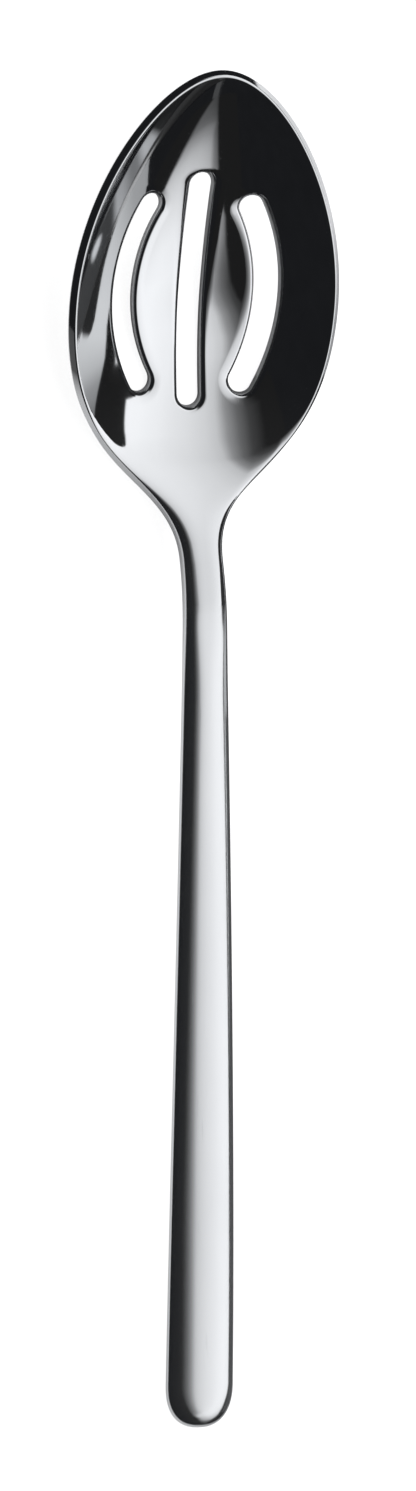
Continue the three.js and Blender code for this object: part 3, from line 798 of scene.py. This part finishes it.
def bar_tree():
    """Geometry nodes for a length of the oval bar: cross sections set along the tapering outline."""
    tree = bpy.data.node_groups.new("oval_bar", "GeometryNodeTree")
    for name, kind in BAR_INPUTS.items():
        tree.interface.new_socket(name, in_out="INPUT", socket_type="NodeSocket" + kind)
    tree.interface.new_socket("Bar", in_out="OUTPUT", socket_type="NodeSocketGeometry")
    given = add_node(tree, "NodeGroupInput")

    def size(name):
        return Field(tree, given.outputs[name])

    half_columns, rings = size("Half Columns"), size("Rings")
    columns = half_columns * 2.0 + 3.0
    grid = add_node(tree, "GeometryNodeMeshGrid", {"Vertices X": rings + 2.0, "Vertices Y": columns})
    index = Field(tree, add_node(tree, "GeometryNodeInputIndex").outputs[0])
    ring = ((index + 0.5) / columns).join("FLOOR")
    column = (index - ring * columns).join("MODULO", columns - 1.0)
    upper = column.join("LESS_THAN", half_columns + 0.5)
    side = upper * 2.0 - 1.0
    place = upper * column + (1.0 - upper) * (half_columns * 2.0 + 1.0 - column)
    across = -((place / half_columns) * math.pi).join("COSINE")
    along = ((ring - 1.0) / (rings - 1.0)).clamped()
    t = mix(size("From"), size("To"), along ** size("Crowding"))
    rest = 1.0 - t
    near, far, last = rest * rest * t * 3.0, rest * t * t * 3.0, t * t * t
    neck = size("Length")
    outline = near * size("Taper End") + far * (neck - size("Taper Neck")) + last * neck
    ends = rest * rest * rest + near
    taper = (ends * size("End Width") + (far + last) * size("Neck Width")) * 0.5
    short = (1.0 - outline / size("End Round")).above_zero()
    power = size("End Power")
    width = taper * (1.0 - short ** power).above_zero() ** (1.0 / power)
    foot = outline + short * short * size("End Round") * size("Fan")
    out = across.join("ABSOLUTE")
    x, y = across * width, mix(foot, outline, out)

    def grown(reach):
        climb = ((y - (neck - reach)) / reach).clamped()
        return climb * climb * climb * (climb * (climb * 6.0 - 15.0) + 10.0)

    thick = mix(size("Thickness"), size("Neck Thickness"), grown(size("Blend Behind")))
    corner = (thick - size("Edge Flat")) * 0.5
    square = 2.0 + (size("Neck Power") - 2.0) * grown(size("Square Behind"))
    half = thick * 0.5 - corner * (1.0 - (1.0 - out ** square).above_zero() ** (1.0 / square))
    bend, arch, low, high = (size(name) for name in ("Bend Start", "Arch", "End Height", "Bend Height"))
    share = y / bend
    height = mix(low, high, share) + arch * 4.0 * share * (1.0 - share)
    slope = (high - low + arch * 4.0 * (1.0 - share * 2.0)) / bend
    past, gather = (y - bend + size("Bend Ease")).above_zero(), size("Bend Curve") / size("Bend Ease")
    height, slope = height + past * past * past * gather / 12.0, slope + past * past * gather * 0.25
    tall = half * (slope * slope + 1.0).join("SQRT")
    first, final = ring.join("LESS_THAN", 0.5), ring.join("GREATER_THAN", rings + 0.5)
    body = 1.0 - (first + final).join("MINIMUM", 1.0)
    at = add_node(tree, "ShaderNodeCombineXYZ", {
        "X": x * body, "Y": y * body + outline * (1.0 - body) + size("End At"),
        "Z": (height + side * tall * body).above_zero()})

    def passed(kind, geometry, inputs=(), **settings):
        return add_node(tree, kind, {"Geometry": geometry, **dict(inputs)}, **settings).outputs[0]

    bar = passed("GeometryNodeSetPosition", grid.outputs["Mesh"], {"Position": at.outputs[0]})
    bar = passed("GeometryNodeDeleteGeometry", bar, {"Selection": first * size("Open Start")})
    bar = passed("GeometryNodeMergeByDistance", bar, {"Distance": MERGE})
    pocket = add_node(tree, "GeometryNodeMeshCube", {"Size": size("Socket Size")}).outputs["Mesh"]
    pocket = passed("GeometryNodeTransform", pocket, {"Translation": size("Socket At")})
    cut = add_node(tree, "GeometryNodeMeshBoolean", {"Mesh 1": bar, "Mesh 2": pocket}, operation="DIFFERENCE")
    bar = passed("GeometryNodeSetShadeSmooth", cut.outputs["Mesh"])
    fold = Field(tree, add_node(tree, "GeometryNodeInputMeshEdgeAngle").outputs["Unsigned Angle"])
    sharp = {"Selection": fold.join("GREATER_THAN", SHARP_FROM), "Shade Smooth": False}
    bar = passed("GeometryNodeSetShadeSmooth", bar, sharp, domain="EDGE")
    bar = passed("GeometryNodeRealizeInstances", bar)
    bar = passed("GeometryNodeSetMaterial", bar, {"Material": size("Finish")})
    add_node(tree, "NodeGroupOutput", {"Bar": bar})
    return tree


def make_bar(name, form, start, end, crowding, rings, open_start, pocket, finish):
    """One length of the bar from y start to y end, as a plain mesh object."""
    handle = form.bar
    tree = bpy.data.node_groups.get("oval_bar") or bar_tree()
    holder = bpy.data.objects.new(name, bpy.data.meshes.new(name))
    bpy.context.scene.collection.objects.link(holder)
    modifier = holder.modifiers.new("oval_bar", "NODES")
    modifier.node_group = tree

    def taper_share(y):
        low, high = 0.0, 1.0
        for _ in range(HALVINGS):
            t = (low + high) / 2
            at = (3 * (1 - t) ** 2 * t * handle.taper_end
                  + 3 * (1 - t) * t * t * (handle.length - handle.taper_neck) + t ** 3 * handle.length)
            low, high = (t, high) if at < y else (low, t)
        return low

    values = {label: getattr(handle, label.lower().replace(" ", "_")) for label in BAR_SIZES}
    values.update({
        "From": taper_share(start), "To": taper_share(end), "Crowding": crowding, "Rings": rings,
        "Half Columns": handle.half_columns, "Open Start": open_start, "End Height": form.end_height,
        "Bend Height": form.rim_height + handle.neck_rise, "Bend Start": form.bend_start,
        "Bend Curve": float(form.bend_curve()), "End At": HANDLE_END_AT, "Socket Size": pocket[0],
        "Socket At": pocket[1], "Finish": finish,
    })
    names = {item.name: item.identifier for item in tree.interface.items_tree if item.in_out == "INPUT"}
    for label, value in values.items():
        modifier[names[label]] = value
    depsgraph = bpy.context.evaluated_depsgraph_get()
    mesh = bpy.data.meshes.new_from_object(holder.evaluated_get(depsgraph), depsgraph=depsgraph)
    holder.modifiers.remove(modifier)
    empty, holder.data = holder.data, mesh
    bpy.data.meshes.remove(empty)
    mesh.name = name
    if not mesh.polygons:
        raise RuntimeError(name + " came out empty")
    return holder


def object_place(tree):
    return add_node(tree, "ShaderNodeTexCoord").outputs["Object"]


def group_of(name, given, results):
    """A shader node group with one number going in: its tree, the place on the piece and that number."""
    tree = bpy.data.node_groups.new(name, "ShaderNodeTree")
    tree.interface.new_socket(given, in_out="INPUT", socket_type="NodeSocketFloat").default_value = 1.0
    for label in results:
        tree.interface.new_socket(label, in_out="OUTPUT", socket_type="NodeSocketFloat")
    return tree, object_place(tree), Field(tree, add_node(tree, "NodeGroupInput").outputs[given])


def stretched_noise(tree, place, stretch, turn, scale, detail):
    """Noise drawn out along a turned axis of the piece's own coordinates."""
    turned = {"Vector": place, "Scale": stretch, "Rotation": (0, 0, turn)}
    mapping = add_node(tree, "ShaderNodeMapping", turned)
    noise = {"Vector": mapping.outputs[0], "Scale": scale, "Detail": detail}
    return Field(tree, add_node(tree, "ShaderNodeTexNoise", noise).outputs["Fac"])


def dot(tree, place, direction):
    node = add_node(tree, "ShaderNodeVectorMath", {0: place, 1: direction}, operation="DOT_PRODUCT")
    return Field(tree, node.outputs["Value"])


def polish_group():
    """Fine lines that the polishing wheel leaves along the spoon."""
    tree, place, depth = group_of("polishing_lines", "Depth", ("Height", "Lines"))
    fine = stretched_noise(tree, place, stretch=(1, 0.02, 1), turn=0.0, scale=9000, detail=2)
    broad = stretched_noise(tree, place, stretch=(1, 0.05, 1), turn=0.06, scale=2200, detail=3)
    lines = mix(broad, fine, FINE_SHARE)
    add_node(tree, "NodeGroupOutput", {"Height": lines * depth, "Lines": lines})
    return tree


def marks_group():
    """Hairline scratches from use, the film that washing leaves, and how much a place is touched."""
    tree, place, scratches = group_of("use_marks", "Scratches", ("Scratch", "Film", "Touched"))
    scratch = 0.0
    for turn, scale in ((0.5, 2600), (-0.9, 3100), (1.35, 2300)):
        line = stretched_noise(tree, place, stretch=(1, 0.012, 1), turn=turn, scale=scale, detail=1)
        scratch = scratch + line.between(*SCRATCH_SPAN)
    film = stretched_noise(tree, place, stretch=(1, 0.6, 1), turn=0.3, scale=70, detail=4)
    add_node(tree, "NodeGroupOutput", {
        "Scratch": scratch * scratches, "Film": film.between(*FILM_SPAN),
        "Touched": dot(tree, place, (0, 1, 0)).between(*TOUCHED_SPAN)})
    return tree


def steel(name, finish, roughness, depth, scratches):
    """Polished steel: lines, scratches and film vary its colour, gloss and surface."""
    material = bpy.data.materials.new(name)
    material.use_nodes = True
    tree = material.node_tree
    shader = tree.nodes["Principled BSDF"]
    lines = add_node(tree, "ShaderNodeGroup", {"Depth": depth},
                     node_tree=bpy.data.node_groups.get("polishing_lines") or polish_group())
    marks = add_node(tree, "ShaderNodeGroup", {"Scratches": scratches},
                     node_tree=bpy.data.node_groups.get("use_marks") or marks_group())
    line, height = (Field(tree, lines.outputs[label]) for label in ("Lines", "Height"))
    scratch, film, touched = (Field(tree, marks.outputs[label]) for label in ("Scratch", "Film", "Touched"))
    rough = line * (roughness * ROUGH_LINES) + film * (roughness * ROUGH_FILM) + scratch * ROUGH_SCRATCH
    tint = add_node(tree, "ShaderNodeMix", {
        "Factor": film * HAZE_FILM + scratch * HAZE_SCRATCH, "A": (*finish.steel, 1), "B": (*finish.haze, 1),
    }, data_type="RGBA")
    bump = add_node(tree, "ShaderNodeBump", {
        "Strength": BUMP_STRENGTH, "Distance": BUMP_DISTANCE, "Height": height - scratch * SCRATCH_DEPTH})
    tree.links.new((rough + roughness * ROUGH_BASE).socket, shader.inputs["Roughness"])
    tree.links.new((1.0 - touched * TOUCHED_FILM).socket, shader.inputs["Metallic"])
    tree.links.new(tint.outputs["Result"], shader.inputs["Base Color"])
    tree.links.new(bump.outputs["Normal"], shader.inputs["Normal"])
    return material


def settle(piece, node):
    """Puts a finished piece in the place of its CAD node."""
    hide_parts(node)
    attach(piece, "root")


def form_of(context):
    scene = context.scene
    return SpoonForm(scene.spoon_bowl, scene.spoon_handle)


def tang_pocket(form, y, reach, level_at):
    """Size and place of a pocket for the tang, its middle at y and as high as the bar is at level_at."""
    bar = form.bar
    size = (bar.tang_width + 2 * bar.tang_play, reach, bar.tang_thickness + 2 * bar.tang_play)
    return size, (0, y + HANDLE_END_AT, float(form.bar_height(level_at)))


class SPOON_OT_bowl(bpy.types.Operator):
    """Makes the slotted bowl with its neck and tang"""
    bl_idname = "spoon.bowl"
    bl_label = "Make Bowl"

    def execute(self, context):
        mesh = make_bowl(form_of(context))
        piece = bpy.data.objects.new("spoon_bowl", mesh)
        context.scene.collection.objects.link(piece)
        finish = context.scene.spoon_finish
        mesh.materials.append(steel("polished_bowl_steel", finish, finish.bowl_roughness,
                                    depth=0.6, scratches=0.8))
        settle(piece, "bowl")
        return {"FINISHED"}


class SPOON_OT_handle(bpy.types.Operator):
    """Makes the handle, an oval bar with a pocket for the tang"""
    bl_idname = "spoon.handle"
    bl_label = "Make Handle"

    def execute(self, context):
        form = form_of(context)
        bar, finish = form.bar, context.scene.spoon_finish
        material = steel("polished_handle_steel", finish, finish.handle_roughness, depth=1.0, scratches=1.0)
        joint, deep = form.bend_start - bar.weld, bar.tang_length + bar.tang_play
        pocket = tang_pocket(form, joint, 2 * deep, joint - deep / 2)
        piece = make_bar("spoon_handle", form, start=0.0, end=joint, crowding=2.0, rings=bar.rings,
                         open_start=True, pocket=pocket, finish=material)
        settle(piece, "handle")
        return {"FINISHED"}


class SPOON_OT_weld(bpy.types.Operator):
    """Makes the weld ring, ground flush between the handle and the neck"""
    bl_idname = "spoon.weld"
    bl_label = "Make Weld"

    def execute(self, context):
        form = form_of(context)
        bar, finish = form.bar, context.scene.spoon_finish
        material = steel("polished_weld_steel", finish, finish.handle_roughness, depth=1.0, scratches=0.6)
        joint = form.bend_start - bar.weld
        middle = joint + bar.weld / 2
        pocket = tang_pocket(form, middle, 4 * bar.weld, middle)
        piece = make_bar("spoon_weld", form, start=joint, end=form.bend_start, crowding=1.0, rings=WELD_RINGS,
                         open_start=False, pocket=pocket, finish=material)
        settle(piece, "neck_weld")
        return {"FINISHED"}


def stage_object(name, material, points, faces):
    mesh = bpy.data.meshes.new(name)
    mesh.from_pydata(points, [], faces)
    mesh.materials.append(material)
    piece = bpy.data.objects.new(name, mesh)
    bpy.context.scene.collection.objects.link(piece)
    return piece


def sheet_object(name, material, at, run, rise, along, across):
    """A flat sheet spanned by two directions, with the stretch that it takes of each."""
    (start, end), (low, high) = along, across
    corners = ((start, low), (end, low), (end, high), (start, high))
    points = [tuple(at + run * far + rise * up) for far, up in corners]
    return stage_object(name, material, points, [(0, 1, 2, 3)])


def tent(name, material, size, turns, lifts):
    """A piece of a dome round the table, between two bearings and two heights in degrees."""
    steps = max(2, int((turns[1] - turns[0]) / TENT_STEP))
    rings = max(2, int((lifts[1] - lifts[0]) / TENT_LIFT))
    points, faces = [], []
    for i in range(rings + 1):
        lift = math.radians(mix(*lifts, i / rings))
        level = size * math.cos(lift)
        for j in range(steps + 1):
            turn = math.radians(mix(*turns, j / steps))
            points.append((level * math.cos(turn), level * math.sin(turn), size * math.sin(lift)))
    for i in range(rings):
        for j in range(steps):
            corner = i * (steps + 1) + j
            faces.append((corner, corner + steps + 1, corner + steps + 2, corner + 1))
    return stage_object(name, material, points, faces)


def ramp(tree, value, stops):
    """Value through a curve of (place, level) stops of any size."""
    places, levels = zip(*stops)
    start, run = places[0], places[-1] - places[0]
    low, rise = min(levels), max(levels) - min(levels)
    node = add_node(tree, "ShaderNodeValToRGB", {0: (value - start) / run})
    elements = node.color_ramp.elements
    for place in places[1:-1]:
        elements.new((place - start) / run)
    for stop, level in zip(elements, levels):
        grey = (level - low) / rise
        stop.color = (grey, grey, grey, 1)
    return Field(tree, node.outputs[0]) * rise + low


def spot(first, second, centre, size, full):
    """1 inside an oval, 0 outside it, and soft at its edge."""
    a, b = (first - centre[0]) / size[0], (second - centre[1]) / size[1]
    return (full - a * a - b * b).clamped()


def glowing(name, tone):
    """A material that only glows, its tree and its glow node."""
    material = bpy.data.materials.new(name)
    material.use_nodes = True
    tree = material.node_tree
    tree.nodes.clear()
    shine = add_node(tree, "ShaderNodeEmission", {"Color": (*tone, 1)})
    add_node(tree, "ShaderNodeOutputMaterial", {"Surface": shine.outputs[0]})
    return material, tree, shine


def second_look(tree):
    """1 where the metal is seen in the metal."""
    path = add_node(tree, "ShaderNodeLightPath")
    return Field(tree, path.outputs["Glossy Depth"]).join("GREATER_THAN", 1.5)


def softbox_cloth(settings, run, sideways):
    """Softbox cloth: brighter to the right, soft at its left edge, fading towards the handle's end. Where the
    bowl is seen in the bowl, it is dimmed and given a small glint: painted shade and a painted highlight in
    those reflections.
    """
    material, tree, shine = glowing("softbox_cloth", SOFTBOX_WHITE)
    place = object_place(tree)
    across, along = (dot(tree, place, way) / SOFTBOX_HEIGHT for way in (sideways, run))
    level = ramp(tree, across - ramp(tree, along, SOFTBOX_LEFT), SOFTBOX_ACROSS)
    fade = ramp(tree, along, SOFTBOX_ALONG)
    left = (across - ramp(tree, along, SOFTBOX_CUT)).between(0.0, SOFTBOX_EDGE)
    right = ((ramp(tree, along, SOFTBOX_RIGHT) - across) / ramp(tree, along, SOFTBOX_RIGHT_EDGE)).clamped()
    # Painted shade and a painted glint, only where the bowl is seen in the bowl
    painted_twice = ramp(tree, along - across, SECOND_REFLECTION_PAINT) + spot(along, across, **GLINT) * GLINT_LEVEL
    cut = left * right * mix(1.0, painted_twice, second_look(tree))
    tree.links.new((level * fade * cut * settings.softbox + DARK).socket, shine.inputs["Strength"])
    return material


def card_cloth(settings):
    """Pale card that stands low on the right, with a dark notch in it as painted shade for the bowl to mirror.
    It also dims where the bowl is seen in the bowl, which is painted shade too.
    """
    material, tree, shine = glowing("pale_card", COOL)
    place = object_place(tree)
    x, y, z = (dot(tree, place, way) for way in ((1, 0, 0), (0, 1, 0), (0, 0, 1)))
    level = ramp(tree, y / x, CARD_LEVEL)
    beside, up = y / CARD_AWAY, z / CARD_AWAY
    below_top = (ramp(tree, beside, CARD_TOP) - up).between(0.0, CARD_EDGE)
    # The notch: painted shade in the card, mirrored by the bowl's left wall
    tops = [beside * slope + height for slope, height in NOTCH_TOP]
    crest = tops[0].join("MINIMUM", tops[1]).join("MINIMUM", tops[2])
    foot = beside * NOTCH_FOOT[0] + NOTCH_FOOT[1]
    notch = beside.between(NOTCH_RIGHT, NOTCH_RIGHT - CARD_EDGE)
    notch = notch * (crest - up).between(0.0, CARD_EDGE) * (up - foot).between(0.0, CARD_EDGE)
    # Painted shade: the card dims where the bowl is seen in the bowl
    shade_seen_twice = 1.0 - second_look(tree) * CARD_SHADE_TWICE
    level = level * below_top * (1.0 - notch * NOTCH_PAINTED_SHADE) * shade_seen_twice
    tree.links.new((level * settings.card + DARK).socket, shine.inputs["Strength"])
    return material


def plain_cloth(name, tone, level, unevenness):
    """Cloth that glows faintly and a little unevenly."""
    material, tree, shine = glowing(name, tone)
    uneven = stretched_noise(tree, object_place(tree), stretch=(1, 1, 1), turn=0.0, scale=1.5, detail=2)
    tree.links.new((uneven * unevenness + level).socket, shine.inputs["Strength"])
    return material


def rays(tree):
    """1 for rays from the camera, from shiny things, and through things."""
    path = add_node(tree, "ShaderNodeLightPath")
    return [Field(tree, path.outputs[f"Is {kind} Ray"]) for kind in ("Camera", "Glossy", "Transmission")]


def paper(settings):
    """Paper that is white to the camera and keeps the spoon's shadow. The metal mirrors it darker in places:
    painted shade in its glow and colour, with a painted shadow under the bowl.
    """
    material = bpy.data.materials.new("white_paper")
    material.use_nodes = True
    tree = material.node_tree
    shader = tree.nodes["Principled BSDF"]
    shader.inputs["Roughness"].default_value = 0.9
    shader.inputs["Emission Color"].default_value = (1, 1, 1, 1)
    place = object_place(tree)
    x, y = dot(tree, place, (1, 0, 0)), dot(tree, place, (0, 1, 0))
    # Painted shade as the metal sees the paper: beyond a corner on the right, to the left, under the bowl as a
    # painted shadow, and to the right
    far, behind = (dot(tree, place, way).between(*span) for way, span in PAPER_CORNER)
    left = 1.0 - x.between(*PAPER_LEFT) * PAPER_LEFT_SHADE
    under = spot(x, y, **PAPER_UNDER)
    out = x.above_zero()
    slant = (y - PAPER_SLANT_FROM) / (out + PAPER_SLANT_BASE)
    right = mix(ramp(tree, slant, PAPER_NEAR), ramp(tree, slant, PAPER_FAR), out.between(*PAPER_AWAY))
    painted_side_shade = left * (1.0 - out.between(*PAPER_RIGHT) * (1.0 - right))
    # Painted shade: the paper dims where the bowl is seen in the bowl
    shade_seen_twice = 1.0 - second_look(tree) * PAPER_SHADE_TWICE
    level = (1.0 - far * behind) * painted_side_shade * (1.0 - under * PAPER_UNDER_SHADOW) * shade_seen_twice
    camera, glossy, through = rays(tree)
    # Painted shade in the paper's colour as the metal sees it, to the left and right
    shade = add_node(tree, "ShaderNodeVectorMath", {
        0: settings.floor, "Scale": 1.0 - glossy * (1.0 - painted_side_shade)}, operation="SCALE")
    tree.links.new(shade.outputs[0], shader.inputs["Base Color"])
    seen = camera * PAPER_SEEN + glossy * level * PAPER_MIRRORED + through
    tree.links.new(seen.join("MINIMUM", PAPER_SEEN).socket, shader.inputs["Emission Strength"])
    return material


def white_world():
    """White for the camera and in reflections, dim for everything else."""
    world = bpy.data.worlds.new("studio")
    bpy.context.scene.world = world
    world.use_nodes = True
    tree = world.node_tree
    background = tree.nodes["Background"]
    background.inputs["Color"].default_value = (1, 1, 1, 1)
    camera, glossy, through = rays(tree)
    seen = (camera + glossy + through).join("MINIMUM", 1.0)
    tree.links.new(mix(WORLD_DIM, 1.0, seen).socket, background.inputs["Strength"])


class SPOON_OT_stage(bpy.types.Operator):
    """Sets the paper, the softbox, the cards and the camera"""
    bl_idname = "spoon.stage"
    bl_label = "Set Stage"

    def execute(self, context):
        scene, settings = context.scene, context.scene.spoon_stage
        scene.view_settings.view_transform = "Standard"
        white_world()
        x, y, z = (Vector(way) for way in ((1, 0, 0), (0, 1, 0), (0, 0, 1)))
        whole = (-FLOOR_REACH, FLOOR_REACH)
        floor = sheet_object("paper_floor", paper(settings), z * FLOOR_AT, x, y, along=whole, across=whole)
        black = plain_cloth("black_cloth", NIGHT, level=DARK - 0.002, unevenness=0.004)
        grey = plain_cloth("far_cloth", COOL, level=0.07, unevenness=0.01)
        dome = tent("black_tent", black, size=7.0, turns=(0, 360), lifts=(-0.2, 90))
        card = tent("pale_card", card_cloth(settings), size=CARD_AWAY, turns=(-31, 5), lifts=(-0.2, 24))
        far_end = tent("far_end", grey, size=6.9, turns=(-69, -64.5), lifts=(-0.2, 10))
        flag = sheet_object("handle_flag", grey, x * FLAG_BESIDE, y, z, along=(-0.12, 0.005), across=(0, 0.017))
        flag.visible_diffuse = flag.visible_shadow = False
        heading = math.radians(SOFTBOX_HEADING)
        run = Vector((math.cos(heading), math.sin(heading), 0))
        sideways = Vector((-run.y, run.x, 0))
        softbox = sheet_object("softbox", softbox_cloth(settings, run, sideways), z * SOFTBOX_HEIGHT,
                               run, sideways, along=(-1.9, 5.9), across=(-0.35, 3.0))
        for hidden in (dome, card, far_end, flag, softbox):
            hidden.visible_camera = False
        self.set_camera(scene, settings)
        return {"FINISHED"}

    def set_camera(self, scene, settings):
        """Camera of the photograph: left of the spoon, nearly overhead."""
        data = bpy.data.cameras.new("camera")
        data.sensor_fit, data.sensor_height, data.lens = "VERTICAL", settings.sensor, settings.lens
        data.clip_start, data.clip_end = CAMERA_CLIP
        camera = bpy.data.objects.new("camera", data)
        scene.collection.objects.link(camera)
        lean, roll = settings.lean, settings.roll
        to_camera = Vector((-math.sin(lean), 0, math.cos(lean)))
        across, up = Vector((math.cos(lean), 0, math.sin(lean))), Vector((0, 1, 0))
        right = across * math.cos(roll) + up * math.sin(roll)
        above = up * math.cos(roll) - across * math.sin(roll)
        place = Vector(CAMERA_AIM) + to_camera * settings.distance
        place += right * CAMERA_SHIFT[0] + above * CAMERA_SHIFT[1]
        turn = Matrix((right, above, to_camera)).transposed().to_4x4()
        camera.matrix_world = Matrix.Translation(place) @ turn
        scene.camera = camera


class SPOON_PT_panel(bpy.types.Panel):
    """Sizes of the spoon and buttons to build it"""
    bl_idname = "SPOON_PT_panel"
    bl_label = "Olive Spoon"
    bl_space_type = "VIEW_3D"
    bl_region_type = "UI"
    bl_category = "Olive Spoon"

    def draw(self, context):
        for group_name in GROUPS:
            group, box = getattr(context.scene, group_name), self.layout.box()
            for name in group.__annotations__:
                box.prop(group, name)
        for operator in PIECES:
            self.layout.operator(operator.bl_idname)


PIECES = (SPOON_OT_bowl, SPOON_OT_handle, SPOON_OT_weld, SPOON_OT_stage)
GROUPS = {"spoon_bowl": BowlSizes, "spoon_handle": HandleSizes, "spoon_finish": FinishSettings,
          "spoon_stage": StageSettings}
CLASSES = tuple(GROUPS.values()) + PIECES + (SPOON_PT_panel,)


def register():
    for item in CLASSES:
        bpy.utils.register_class(item)
    for name, group in GROUPS.items():
        setattr(bpy.types.Scene, name, PointerProperty(type=group))


def unregister():
    for name in GROUPS:
        delattr(bpy.types.Scene, name)
    for item in reversed(CLASSES):
        bpy.utils.unregister_class(item)


def main():
    register()
    bpy.ops.spoon.bowl()
    bpy.ops.spoon.handle()
    bpy.ops.spoon.weld()
    bpy.ops.spoon.stage()


if __name__ == "__main__":
    main()
